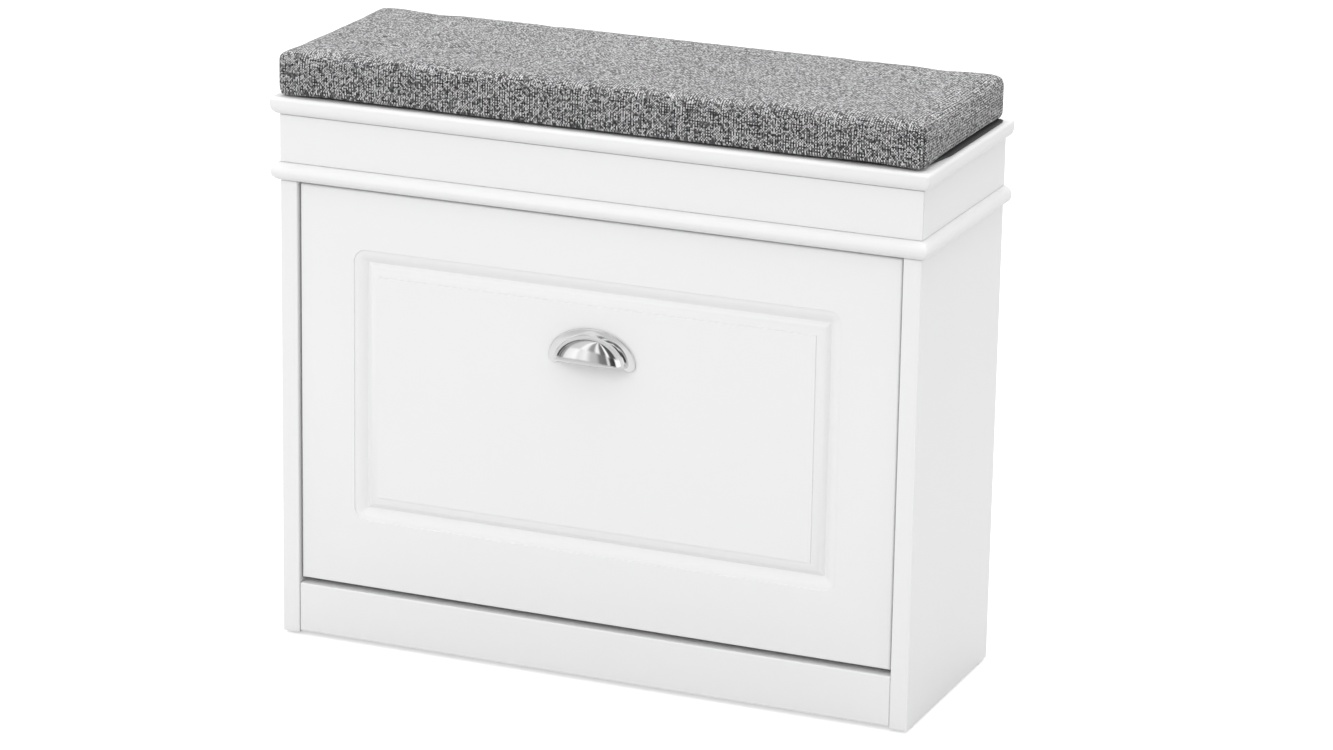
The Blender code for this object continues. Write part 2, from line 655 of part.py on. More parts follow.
def shoe_tray(pivot):
    """Tray floor and rear fence, and the shallower divider shelf with its lip."""
    y = DOOR_BACK + FIT
    half = CHEEK_X[0] - FIT
    block("tray_floor", (-half, y, TRAY_Z), (half, y + TRAY_DEEP, TRAY_Z + SHELF), "white_foil", EDGE,
          pivot)
    block("tray_fence", (-half, y + TRAY_DEEP - SHELF, TRAY_Z + SHELF + FIT),
          (half, y + TRAY_DEEP, TRAY_Z + SHELF + FENCE_H), "white_foil", EDGE, pivot)
    clear = half - 0.0167
    block("divider_shelf", (-half, y + 0.0035, DIVIDER_Z), (half, y + DIVIDER_DEEP, DIVIDER_Z + SHELF),
          "white_foil", EDGE, pivot)
    block("divider_lip", (-clear, y + DIVIDER_DEEP - SHELF, DIVIDER_Z + SHELF + FIT),
          (clear, y + DIVIDER_DEEP, DIVIDER_Z + SHELF + LIP_H), "white_foil", EDGE, pivot)


def strike_z():
    """Level of the strike plate's screw, below the catch."""
    return STRIKE_TOP - STRIKE[2] + 0.007


def strike_plate(pivot):
    """The steel plate on the door's back that the magnet holds, and its screw."""
    half, thick, tall = STRIKE
    y, z = DOOR_BACK + FIT, strike_z()
    plate = block("strike_plate", (-half, y, STRIKE_TOP - tall), (half, y + thick, STRIKE_TOP), "zinc",
                  parent=pivot)
    drill(plate, "strike_hole", SCREW_R + FIT, (0, y + thick + 0.001, z), "Y", 0.004, -1, parent=pivot)
    screw("strike_screw", (0, y + thick + FIT, z), "Y", -1, 0.0115, pivot)


# Seat pieces

def seat_cushion(rest):
    """A foam pad in a fabric cover, and the dark non-slip lining under it."""
    inset = LINING_INSET
    block("cushion_lining", (inset - CUSHION_X, CUSHION_Y[0] + inset, SEAT_Z + FIT),
          (CUSHION_X - inset, CUSHION_Y[1] - inset, SEAT_Z + FIT + LINING_H), "dark_lining", parent=rest)
    low = SEAT_Z + 2 * FIT + LINING_H
    block("cushion", (-CUSHION_X, CUSHION_Y[0], low), (CUSHION_X, CUSHION_Y[1], low + CUSHION_H), "grey_fabric",
          CUSHION_ROUND, rest, 4)


def build():
    clear_scene()
    side_panels()
    bottom_panel()
    plinth()
    back_panel()
    middle_board()
    frieze()
    top_board()
    foot_glides()
    cam_fittings()
    dowels()
    magnetic_catch()
    wall_bracket()
    pivot_bushes()
    stop_pegs()
    pivot = empty("flap_pivot", PIVOT)
    door_panel(pivot)
    cup_pull(pivot)
    pull_screws(pivot)
    cheeks(pivot)
    pivot_pins(pivot)
    shoe_tray(pivot)
    strike_plate(pivot)
    rest = empty("cushion_rest", Vector((0.0, 0.0, SEAT_Z)))
    seat_cushion(rest)


build()
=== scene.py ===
"""Looks of the entryway bench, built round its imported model.

Metres, Z up, the front facing -Y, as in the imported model.
"""

import math

import bmesh
import bpy
import numpy as np
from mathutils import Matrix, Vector

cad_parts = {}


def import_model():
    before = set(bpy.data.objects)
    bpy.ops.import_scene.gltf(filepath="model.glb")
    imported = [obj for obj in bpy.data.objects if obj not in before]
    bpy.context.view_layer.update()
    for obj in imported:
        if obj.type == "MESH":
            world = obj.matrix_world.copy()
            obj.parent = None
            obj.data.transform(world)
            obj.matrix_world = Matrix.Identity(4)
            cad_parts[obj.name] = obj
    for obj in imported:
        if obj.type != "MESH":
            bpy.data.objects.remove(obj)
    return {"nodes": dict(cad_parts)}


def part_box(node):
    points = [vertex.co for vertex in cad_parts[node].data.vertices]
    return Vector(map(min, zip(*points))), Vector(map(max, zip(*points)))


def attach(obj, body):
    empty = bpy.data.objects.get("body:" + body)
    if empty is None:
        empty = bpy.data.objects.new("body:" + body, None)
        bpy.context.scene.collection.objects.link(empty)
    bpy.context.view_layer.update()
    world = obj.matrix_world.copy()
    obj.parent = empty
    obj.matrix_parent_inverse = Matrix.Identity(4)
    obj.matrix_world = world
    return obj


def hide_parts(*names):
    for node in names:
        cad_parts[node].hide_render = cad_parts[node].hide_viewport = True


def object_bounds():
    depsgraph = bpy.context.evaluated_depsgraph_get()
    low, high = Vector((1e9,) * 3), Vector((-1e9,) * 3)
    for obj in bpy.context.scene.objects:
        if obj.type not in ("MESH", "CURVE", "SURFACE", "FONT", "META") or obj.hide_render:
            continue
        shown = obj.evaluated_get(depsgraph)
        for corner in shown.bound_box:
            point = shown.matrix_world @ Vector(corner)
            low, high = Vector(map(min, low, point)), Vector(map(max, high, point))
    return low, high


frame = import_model()
cad_nodes = frame["nodes"]
cad_bounds = [list(corner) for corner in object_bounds()]
SIDES = ("left", "right")
ENDS = ("front", "back")

# Foiled boards: side panels, plinth, cabinet floor and frieze.
# 16 mm fibreboard wrapped in satin white foil, cut square with barely rounded edges. The foil
# shows a very fine orange peel and hardly any change of tone.
FOIL_WHITE = (0.785, 0.785, 0.785, 1.0)
FOIL_SHADE = (0.77, 0.77, 0.77, 1.0)
FOIL_ROUGHNESS = (0.34, 0.42)
PEEL_SIZE = 0.0016
PEEL_DEPTH = 0.00002
TONE_DRIFT_SCALE = 4.0


def link(tree, source, target):
    tree.links.new(source, target)


def add_node(tree, kind, **settings):
    """A node with its properties set; a name with a capital sets the input of that name."""
    made = tree.nodes.new(kind)
    for name, value in settings.items():
        if name[0].isupper():
            made.inputs[name.replace("_", " ")].default_value = value
        else:
            setattr(made, name, value)
    return made


def start_group(name, inputs, outputs):
    """An empty shader group with float inputs (name, default) and named, typed outputs."""
    group = bpy.data.node_groups.new(name, "ShaderNodeTree")
    for socket, kind, value in inputs:
        made = group.interface.new_socket(socket, in_out="INPUT", socket_type=f"NodeSocket{kind}")
        if value is not None:
            made.default_value = value
    for socket, kind in outputs:
        group.interface.new_socket(socket, in_out="OUTPUT", socket_type=f"NodeSocket{kind}")
    return group, group.nodes.new("NodeGroupInput"), group.nodes.new("NodeGroupOutput")


def make_surface_group():
    """Slow tone drift, a fine orange peel and the roughness that goes with it."""
    group, given, out = start_group(
        "surface_variation",
        [("Coordinates", "Vector", None),
         ("Light", "Color", FOIL_WHITE), ("Dark", "Color", FOIL_SHADE),
         ("Smooth", "Float", FOIL_ROUGHNESS[0]), ("Rough", "Float", FOIL_ROUGHNESS[1]),
         ("Grain Size", "Float", PEEL_SIZE)],
        [("Colour", "Color"), ("Roughness", "Float"), ("Height", "Float")])
    drift = add_node(group, "ShaderNodeTexNoise", Scale=TONE_DRIFT_SCALE, Detail=3.0)
    link(group, given.outputs["Coordinates"], drift.inputs["Vector"])
    tone = add_node(group, "ShaderNodeMix", data_type="RGBA")
    link(group, drift.outputs["Fac"], tone.inputs["Factor"])
    link(group, given.outputs["Light"], tone.inputs[6])
    link(group, given.outputs["Dark"], tone.inputs[7])
    link(group, tone.outputs[2], out.inputs["Colour"])
    frequency = add_node(group, "ShaderNodeMath", operation="DIVIDE")
    frequency.inputs[0].default_value = 1.0
    link(group, given.outputs["Grain Size"], frequency.inputs[1])
    peel = add_node(group, "ShaderNodeTexNoise", Detail=2.0)
    link(group, given.outputs["Coordinates"], peel.inputs["Vector"])
    link(group, frequency.outputs[0], peel.inputs["Scale"])
    link(group, peel.outputs["Fac"], out.inputs["Height"])
    spread = add_node(group, "ShaderNodeMapRange")
    link(group, drift.outputs["Fac"], spread.inputs["Value"])
    link(group, given.outputs["Smooth"], spread.inputs["To Min"])
    link(group, given.outputs["Rough"], spread.inputs["To Max"])
    link(group, spread.outputs["Result"], out.inputs["Roughness"])
    return group


surface_group = make_surface_group()


def surface_material(name, light, dark, smooth, rough, grain, depth, metallic=0.0):
    """A material whose tone, roughness and fine relief come from the surface group."""
    mat = bpy.data.materials.new(name)
    mat.use_nodes = True
    tree = mat.node_tree
    shader = tree.nodes["Principled BSDF"]
    shader.inputs["Metallic"].default_value = metallic
    where = add_node(tree, "ShaderNodeTexCoord")
    surface = add_node(tree, "ShaderNodeGroup", node_tree=surface_group, Light=light, Dark=dark,
                       Smooth=smooth, Rough=rough, Grain_Size=grain)
    bump = add_node(tree, "ShaderNodeBump", Distance=depth, Strength=1.0)
    link(tree, where.outputs["Object"], surface.inputs["Coordinates"])
    link(tree, surface.outputs["Colour"], shader.inputs["Base Color"])
    link(tree, surface.outputs["Roughness"], shader.inputs["Roughness"])
    link(tree, surface.outputs["Height"], bump.inputs["Height"])
    link(tree, bump.outputs["Normal"], shader.inputs["Normal"])
    return mat


def dress(material, *names):
    """Gives CAD nodes a finished material."""
    for name in names:
        mesh = cad_nodes[name].data
        mesh.materials.clear()
        mesh.materials.append(material)


white_foil = surface_material("satin_white_foil", FOIL_WHITE, FOIL_SHADE, *FOIL_ROUGHNESS,
                              PEEL_SIZE, PEEL_DEPTH)
dress(white_foil, "bottom_panel", "plinth", *(f"side_panel_{side}" for side in SIDES),
      *(f"frieze_{place}" for place in ("front", "left", "right", "back")))

# Moulded boards: the middle board and the seat board.
# Both stand 7 mm proud of the carcass. The middle one has a full bullnose, the seat board a soft
# curve below and a small rounding above, and their front corners meet in a mitre.
BULLNOSE = 0.0079
SEAT_EDGE_ABOVE = 0.0032
SEAT_EDGE_BELOW = 0.0085
MITRE_ROUND = 0.0022
NEAR = 0.0001


def select_nothing():
    if bpy.context.object and bpy.context.object.mode != "OBJECT":
        bpy.ops.object.mode_set(mode="OBJECT")
    bpy.ops.object.select_all(action="DESELECT")


def take(piece):
    """Makes a piece the only selected and the active object."""
    select_nothing()
    piece.select_set(True)
    bpy.context.view_layer.objects.active = piece


def settle(piece):
    """Puts a piece's place, turn and size into its mesh."""
    take(piece)
    bpy.ops.object.transform_apply(location=True, rotation=True, scale=True)


def box_piece(name, low, high):
    """A box between two corners, the start of a piece."""
    select_nothing()
    low, high = Vector(low), Vector(high)
    bpy.ops.mesh.primitive_cube_add(size=1.0, location=(low + high) / 2, scale=high - low)
    piece = bpy.context.object
    piece.name = piece.data.name = name
    settle(piece)
    return piece


def pick(piece, kind, test):
    """In edit mode, selects only the "verts", "edges" or "faces" that pass the test."""
    take(piece)
    bpy.ops.object.mode_set(mode="EDIT")
    bpy.ops.mesh.select_mode(type={"verts": "VERT", "edges": "EDGE", "faces": "FACE"}[kind])
    bpy.ops.mesh.select_all(action="DESELECT")
    bm = bmesh.from_edit_mesh(piece.data)
    for item in getattr(bm, kind):
        if test(item):
            item.select_set(True)
    bm.select_flush_mode()
    bmesh.update_edit_mesh(piece.data)


def round_edges(piece, test, width, segments, profile=0.5):
    """Bevels the edges that pass the test."""
    pick(piece, "edges", test)
    bpy.ops.mesh.bevel(offset=width, segments=segments, profile=profile, affect="EDGES")
    bpy.ops.object.mode_set(mode="OBJECT")


def smooth_shade(piece, degrees=30.0):
    take(piece)
    bpy.ops.object.shade_smooth_by_angle(angle=math.radians(degrees))


def stands_for(piece, body, slot, material, *replaced):
    """Gives a finished piece its material and body, and hides the CAD nodes it stands for. The slot
    is not used.
    """
    piece.data.materials.clear()
    piece.data.materials.append(material)
    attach(piece, body)
    if replaced:
        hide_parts(*replaced)


def moulded_board(node, above, below):
    """A board with its front and ends rounded above and below, and its back left square."""
    low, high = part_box(node)
    piece = box_piece(f"{node}_moulded", low, high)

    def perimeter(level):
        def test(edge):
            a, b = (v.co for v in edge.verts)
            at_back = min(a.y, b.y) > high.y - NEAR
            return abs(a.z - level) < NEAR and abs(b.z - level) < NEAR and not at_back
        return test

    round_edges(piece, perimeter(high.z), above, 6)
    round_edges(piece, perimeter(low.z), below, 8)

    def on_mitre(edge):
        a, b = (v.co for v in edge.verts)
        off = max(abs((v.y - low.y) - (high.x - abs(v.x))) for v in (a, b))
        in_front = max(a.y, b.y) < low.y + max(above, below) + NEAR
        return off < NEAR and a.x * b.x > 0 and in_front

    round_edges(piece, on_mitre, MITRE_ROUND, 3)
    smooth_shade(piece, 35.0)
    stands_for(piece, "carcass", "white_foil", white_foil, node)


moulded_board("middle_board", BULLNOSE, BULLNOSE)
moulded_board("top_board", SEAT_EDGE_ABOVE, SEAT_EDGE_BELOW)

# Flap front: a fibreboard panel with a frame groove.
# The router bit leaves round outer corners and sharp inner ones. Foil covers the whole panel, so
# the groove has the same satin finish, and its edges are as soft as the panel's.
GROOVE_SIDE = 0.051
GROOVE_TOP = 0.052
GROOVE_BOTTOM = 0.061
GROOVE_HALF = 0.0115
GROOVE_DEEP = 0.0055
GROOVE_STEP = 0.0010
GROOVE_LIP = 0.0002
CORNER_SLACK = 0.00006
CORNER_MERGE = 0.0008
GROOVE_STEPS = 7
GROOVE_STEEPEST = 76.0
LIP_SHARES = (0.45, 0.55)
FIELD_AREA = 0.05
DOOR_ROUND = 0.0018


def inset_front(thickness, depth):
    bpy.ops.mesh.inset(thickness=thickness, depth=-depth, use_even_offset=True)


def groove_fall(share):
    """Depth of the groove, past its step, at a share of the way from its edge to its middle."""
    steepest = math.radians(GROOVE_STEEPEST)
    return (1 - math.cos(steepest * share)) / (1 - math.cos(steepest)) * (GROOVE_DEEP - GROOVE_STEP)


def routed_door():
    low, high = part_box("door_panel")
    rim_low = Vector((low.x + GROOVE_SIDE, low.y, low.z + GROOVE_BOTTOM))
    rim_high = Vector((high.x - GROOVE_SIDE, low.y, high.z - GROOVE_TOP))
    select_nothing()
    bpy.ops.mesh.primitive_plane_add(size=1.0, location=(rim_low + rim_high) / 2,
                                     rotation=(math.pi / 2, 0, 0))
    piece = bpy.context.object
    piece.name = piece.data.name = "flap_front"
    piece.scale = (rim_high.x - rim_low.x, rim_high.z - rim_low.z, 1)
    settle(piece)
    pick(piece, "verts", lambda vert: True)
    bpy.ops.mesh.bevel(offset=GROOVE_HALF, segments=10, affect="VERTICES")

    def field(face):
        return face.calc_area() > FIELD_AREA

    pick(piece, "faces", field)
    across = (GROOVE_HALF - 2 * GROOVE_LIP) / GROOVE_STEPS
    falls = [groove_fall(k / GROOVE_STEPS) for k in range(GROOVE_STEPS + 1)]
    steps = [after - before for before, after in zip(falls, falls[1:])]
    for share in LIP_SHARES:
        inset_front(GROOVE_LIP, GROOVE_STEP * share)
    for step in steps[:-1]:
        inset_front(across, step)
    inset_front(across - CORNER_SLACK, steps[-1])
    bpy.ops.mesh.remove_doubles(threshold=CORNER_MERGE)
    square_valley(piece, rim_low, rim_high)
    pick(piece, "faces", field)
    for step in reversed(steps):
        inset_front(across, -step)
    for share in reversed(LIP_SHARES):
        inset_front(GROOVE_LIP, -GROOVE_STEP * share)
    add_frame(piece, low, high)

    def outer_front(edge):
        a, b = (v.co for v in edge.verts)
        at_front = max(a.y, b.y) < low.y + NEAR
        on_side = abs(abs(a.x) - high.x) < NEAR and abs(a.x - b.x) < NEAR
        on_end = min(abs(a.z - low.z), abs(a.z - high.z)) < NEAR and abs(a.z - b.z) < NEAR
        return at_front and (on_side or on_end)

    round_edges(piece, outer_front, DOOR_ROUND, 4)
    smooth_shade(piece, 38.0)
    stands_for(piece, "flap", "white_foil", white_foil, "door_panel")


def square_valley(piece, rim_low, rim_high):
    """Puts the four corners of the groove's deepest line where its straight runs meet."""
    bm = bmesh.from_edit_mesh(piece.data)
    middle = (rim_low.z + rim_high.z) / 2
    for vert in bm.verts:
        if vert.select:
            vert.co.x = math.copysign(rim_high.x - GROOVE_HALF, vert.co.x)
            below = vert.co.z < middle
            vert.co.z = rim_low.z + GROOVE_HALF if below else rim_high.z - GROOVE_HALF
    bmesh.update_edit_mesh(piece.data)


def add_frame(piece, low, high):
    """Carries the routed sheet out to the panel's edges, and gives it its sides and back."""
    pick(piece, "verts", lambda vert: False)
    middle = ((low.x + high.x) / 2, low.y, (low.z + high.z) / 2)
    bpy.ops.mesh.primitive_plane_add(size=1.0, location=middle, rotation=(math.pi / 2, 0, 0))
    bpy.ops.transform.resize(value=(high.x - low.x, 1, high.z - low.z))
    bpy.ops.mesh.delete(type="ONLY_FACE")
    pick(piece, "edges", lambda edge: len(edge.link_faces) < 2)
    bpy.ops.mesh.fill(use_beauty=True)
    pick(piece, "edges", lambda edge: len(edge.link_faces) == 1)
    bpy.ops.mesh.extrude_region_move(TRANSFORM_OT_translate={"value": (0, high.y - low.y, 0)})
    bpy.ops.mesh.edge_face_add()
    bpy.ops.mesh.select_all(action="SELECT")
    bpy.ops.mesh.normals_make_consistent(inside=False)
    bpy.ops.object.mode_set(mode="OBJECT")


routed_door()

# Shoe tray: boards of the same foiled fibreboard, and their grey moulded cheeks.
# The cheeks are injection-moulded with a spark-eroded grain, and carry the pivot pins.
dress(white_foil, "tray_floor", "tray_fence", "divider_shelf", "divider_lip")
grey_plastic = surface_material(
    "grained_grey_plastic", light=(0.22, 0.22, 0.23, 1), dark=(0.19, 0.19, 0.2, 1),
    smooth=0.42, rough=0.55, grain=0.0006, depth=0.00004)
dress(grey_plastic, "cheek_left", "cheek_right")

# Small fittings: zinc-plated steel, white nylon, beech dowels and the hardboard back.
# All are bought in; the plating is a little cloudy and the hardboard faintly mottled.
zinc = surface_material(
    "zinc_plated_steel", light=(0.62, 0.63, 0.65, 1), dark=(0.5, 0.51, 0.53, 1),
    smooth=0.25, rough=0.45, grain=0.0008, depth=0.00001, metallic=1.0)
white_nylon = surface_material(
    "white_nylon", light=(0.8, 0.8, 0.79, 1), dark=(0.76, 0.76, 0.75, 1),
    smooth=0.38, rough=0.5, grain=0.001, depth=0.00001)
beech = surface_material(
    "beech", light=(0.62, 0.42, 0.24, 1), dark=(0.5, 0.32, 0.17, 1),
    smooth=0.5, rough=0.65, grain=0.0012, depth=0.00006)
hardboard = surface_material(
    "painted_hardboard", light=(0.8, 0.8, 0.79, 1), dark=(0.75, 0.75, 0.74, 1),
    smooth=0.5, rough=0.62, grain=0.003, depth=0.00004)
dress(hardboard, "back_panel")
dress(white_nylon, "magnetic_catch", *(f"pivot_bush_{side}" for side in SIDES),
      *(f"foot_glide_{end}_{side}" for end in ENDS for side in SIDES))
dress(beech, *(f"dowel_{end}_{side}" for end in ENDS for side in SIDES))
dress(zinc, "wall_bracket", "wall_bracket_screw", "strike_plate", "strike_screw",
      *(f"{piece}_{side}" for side in SIDES
        for piece in ("stop_peg", "catch_screw", "pivot_pin", "pull_screw")),
      *(f"{piece}_{end}_{side}" for piece in ("cam", "cam_bolt") for end in ENDS for side in SIDES),
      *(f"cheek_screw_{side}_{level}" for side in SIDES for level in ("low", "high")))

# Cup pull: a polished hood on a flat arched flange.
# Pressed and plated metal, held by two screws from inside the flap. The hood is open below for
# the fingers, and its lip rises a little towards the front.
PULL_HALF_W = 0.040
PULL_RISE = 0.028
PULL_LOBE = 0.0055
PULL_PLATE = 0.002
HOOD_HALF_W = 0.0332
HOOD_REACH = 0.0199
HOOD_HEIGHT = 0.0264
HOOD_FULLNESS = 0.62
HOOD_WALL = 0.0014
HOOD_LIFT = 0.0040
HOOD_BELOW_FLANGE = 0.0027
HOOD_LIP_ROUND = 0.0006
LIP_CLEAR_OF_FACE = 0.0005
FLANGE_UNDER_HOOD = 0.0002
FLANGE_ROUND = 0.0006
SHARP = 1.0
POST_X = 0.020
POST_R = 0.0035
POST_LENGTH = 0.0140
POST_LEVEL = 0.0085
NICKEL_LIGHT = (0.80, 0.80, 0.80, 1)
NICKEL_DARK = (0.75, 0.75, 0.75, 1)
NICKEL_ROUGHNESS = (0.07, 0.14)
NICKEL_GRAIN = 0.0007
BRUSHING_STRETCH = (12.0, 260.0, 260.0)
BRUSHING_SCALE = 6.0
BRUSHING_DEPTH = 0.00001


def make_nickel():
    """Polished metal with a faint brushing that follows the hood's length."""
    mat = bpy.data.materials.new("polished_nickel")
    mat.use_nodes = True
    tree = mat.node_tree
    shader = tree.nodes["Principled BSDF"]
    shader.inputs["Metallic"].default_value = 1.0
    where = add_node(tree, "ShaderNodeTexCoord")
    surface = add_node(tree, "ShaderNodeGroup", node_tree=surface_group, Light=NICKEL_LIGHT,
                       Dark=NICKEL_DARK, Smooth=NICKEL_ROUGHNESS[0], Rough=NICKEL_ROUGHNESS[1],
                       Grain_Size=NICKEL_GRAIN)
    stretch = add_node(tree, "ShaderNodeMapping", Scale=BRUSHING_STRETCH)
    brushing = add_node(tree, "ShaderNodeTexNoise", Scale=BRUSHING_SCALE, Detail=4.0)
    bump = add_node(tree, "ShaderNodeBump", Distance=BRUSHING_DEPTH, Strength=1.0)
    link(tree, where.outputs["Object"], surface.inputs["Coordinates"])
    link(tree, where.outputs["Object"], stretch.inputs["Vector"])
    link(tree, stretch.outputs["Vector"], brushing.inputs["Vector"])
    link(tree, surface.outputs["Colour"], shader.inputs["Base Color"])
    link(tree, surface.outputs["Roughness"], shader.inputs["Roughness"])
    link(tree, brushing.outputs["Fac"], bump.inputs["Height"])
    link(tree, bump.outputs["Normal"], shader.inputs["Normal"])
    return mat


def apply_modifier(piece, kind, **settings):
    take(piece)
    made = piece.modifiers.new(kind.lower(), kind)
    for name, value in settings.items():
        setattr(made, name, value)
    bpy.ops.object.modifier_apply(modifier=made.name)


def unite(piece, other):
    apply_modifier(piece, "BOOLEAN", operation="UNION", solver="EXACT", object=other)
    bpy.data.objects.remove(other)


def outline_plate(name, outline, y0, y1, at):
    """A plate from an (x, z) outline, thickened towards -Y by an extrusion."""
    mesh = bpy.data.meshes.new(name)
    mesh.from_pydata([(x + at.x, y0, z + at.z) for x, z in outline], [], [tuple(range(len(outline)))])
    piece = bpy.data.objects.new(name, mesh)
    bpy.context.scene.collection.objects.link(piece)
    pick(piece, "faces", lambda face: True)
    bpy.ops.mesh.extrude_region_move(TRANSFORM_OT_translate={"value": (0, y1 - y0, 0)})
    bpy.ops.mesh.select_all(action="SELECT")
    bpy.ops.mesh.normals_make_consistent(inside=False)
    bpy.ops.object.mode_set(mode="OBJECT")
    return piece


def arch_outline(lift):
    """Flange outline: an outer and an inner half ellipse joined by two round ends."""
    points = []

    def arc(half_w, rise, centre, first, last, steps):
        for k in range(steps + 1):
            angle = math.radians(first + (last - first) * k / steps)
            points.append((centre + half_w * math.cos(angle), rise * math.sin(angle)))

    lobe_x = PULL_HALF_W - PULL_LOBE
    inner_half_w = HOOD_HALF_W - HOOD_WALL - FLANGE_UNDER_HOOD
    arc(PULL_HALF_W, PULL_RISE, 0.0, 0.0, 180.0, 48)
    arc(PULL_LOBE, PULL_LOBE, -lobe_x, 190.0, 350.0, 12)
    arc(inner_half_w, HOOD_HEIGHT - HOOD_WALL - lift, 0.0, 180.0, 0.0, 48)
    arc(PULL_LOBE, PULL_LOBE, lobe_x, 190.0, 350.0, 12)
    return points


def cup_pull():
    low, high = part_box("cup_pull")
    face = high.y
    flange_level = low.z + PULL_LOBE
    hood_level = flange_level - HOOD_BELOW_FLANGE
    select_nothing()
    bpy.ops.mesh.primitive_uv_sphere_add(segments=112, ring_count=56, radius=1.0,
                                         location=(0, face, hood_level),
                                         scale=(HOOD_HALF_W, HOOD_REACH, HOOD_HEIGHT))
    hood = bpy.context.object
    hood.name = hood.data.name = "cup_pull_hood"
    settle(hood)
    pick(hood, "faces", lambda item: True)
    bpy.ops.mesh.bisect(plane_co=(0, face, 0), plane_no=(0, 1, 0), clear_outer=True)
    bpy.ops.object.mode_set(mode="OBJECT")
    for vertex in hood.data.vertices:
        out = max(0.0, (face - vertex.co.y) / HOOD_REACH)
        vertex.co.y = face - HOOD_REACH * out ** HOOD_FULLNESS
    pick(hood, "faces", lambda item: True)
    slope = Vector((0, HOOD_LIFT, HOOD_REACH)).normalized()
    bpy.ops.mesh.bisect(plane_co=(0, face, hood_level), plane_no=slope, clear_inner=True)
    bpy.ops.object.mode_set(mode="OBJECT")
    apply_modifier(hood, "SOLIDIFY", thickness=HOOD_WALL, offset=-1.0)

    def before(edge, y):
        return max(v.co.y for v in edge.verts) < y

    lip_back = face - LIP_CLEAR_OF_FACE
    round_edges(hood, lambda edge: edge.calc_face_angle(0) > SHARP and before(edge, lip_back),
                HOOD_LIP_ROUND, 3)
    flange = outline_plate("cup_pull_flange", arch_outline(flange_level - hood_level), face,
                           face - PULL_PLATE, Vector((0, 0, flange_level)))
    round_edges(flange, lambda edge: before(edge, face - PULL_PLATE + NEAR), FLANGE_ROUND, 3)
    unite(hood, flange)
    for side in (-1, 1):
        select_nothing()
        middle = (side * POST_X, face - POST_LENGTH / 2, hood_level + POST_LEVEL)
        bpy.ops.mesh.primitive_cylinder_add(vertices=32, radius=POST_R, depth=POST_LENGTH,
                                            location=middle, rotation=(math.radians(90), 0, 0))
        post = bpy.context.object
        settle(post)
        unite(hood, post)
    smooth_shade(hood, 32.0)
    stands_for(hood, "flap", "polished_nickel", make_nickel(), "cup_pull")


cup_pull()

# Seat pad: foam in a cover of grey melange linen weave, on a dark non-slip lining.
# The cover is one sheet folded down over the foam and seamed at the four corners, so it has no
# seam round the top. The foam fills it tight and crowns it a little, and its front edge rests low.
PAD_START_IN = (0.0006, 0.0006, 0.0022)
PAD_ROUND = 0.0065
PAD_GRID = 0.0052
PAD_FRAMES = 20
PAD_PRESSURE = 2.5
PAD_MOST_SWELL = 0.0024
PAD_TALL = 0.02
PAD_FRONT_CORNER = 0.0065
PAD_BACK_CORNER = 0.0115
COVER_STIFFNESS = 25.0
COVER_QUALITY = 5
PAD_CREASES = ((-0.205, -0.040, 0.034, 0.0055, 14.0), (-0.165, -0.022, 0.026, 0.005, 24.0),
               (-0.232, -0.012, 0.022, 0.005, 40.0), (0.215, 0.040, 0.040, 0.007, -18.0))
CREASE_DEPTH = 0.0012
CREASE_FADES = (0.012, 0.006)
RIM_WIDTH = 0.008
RIM_FLAT_SHARE = 0.6
RIM_HEIGHT = 0.015
RIM_DROP = 0.0021
RIM_DROP_LOST = 0.7
RIM_FADE_FROM = 0.01
RIM_FADE = 0.13
RIM_FADE_SIDEWAYS = 0.8
SEAM_WIDTH = 0.0011
SEAM_DEPTH = 0.0011
SEAM_REACH = 0.012
SEAM_ENDS = (0.008, 0.003)
# Painted shade in the corner seams: its strength and its grey.
SEAM_SHADE = 0.8
SEAM_SHADE_TINT = (0.3, 0.3, 0.31, 1)
THREAD = 0.00115
THREAD_DARK = (0.012, 0.012, 0.013, 1)
THREAD_MID = (0.165, 0.165, 0.167, 1)
THREAD_LIGHT = (0.78, 0.78, 0.78, 1)
WARP_SHADE = 0.26
WEFT_SHADE = 0.64
FLECK_SWING = 0.9
SLUB_SWING = 0.6
ROW_SWING = 0.3
SLUB_STRETCH = 0.035
WARP_NOISE = (3.7, 0.45)
WEFT_NOISE = (9.1, 5.3)
THREAD_WANDER = ((45.0, 0.0012), (420.0, 0.0003))
SHADE_DARK, SHADE_MID, SHADE_LIGHT = 0.20, 0.5, 0.88
# Painted shade: the grey multiplied into the weave's gaps between threads.
GAP_SHADE_TINT = (0.4, 0.4, 0.41, 1)
WEAVE_DEPTH = 0.0003
WEAVE_STRENGTH = 0.7


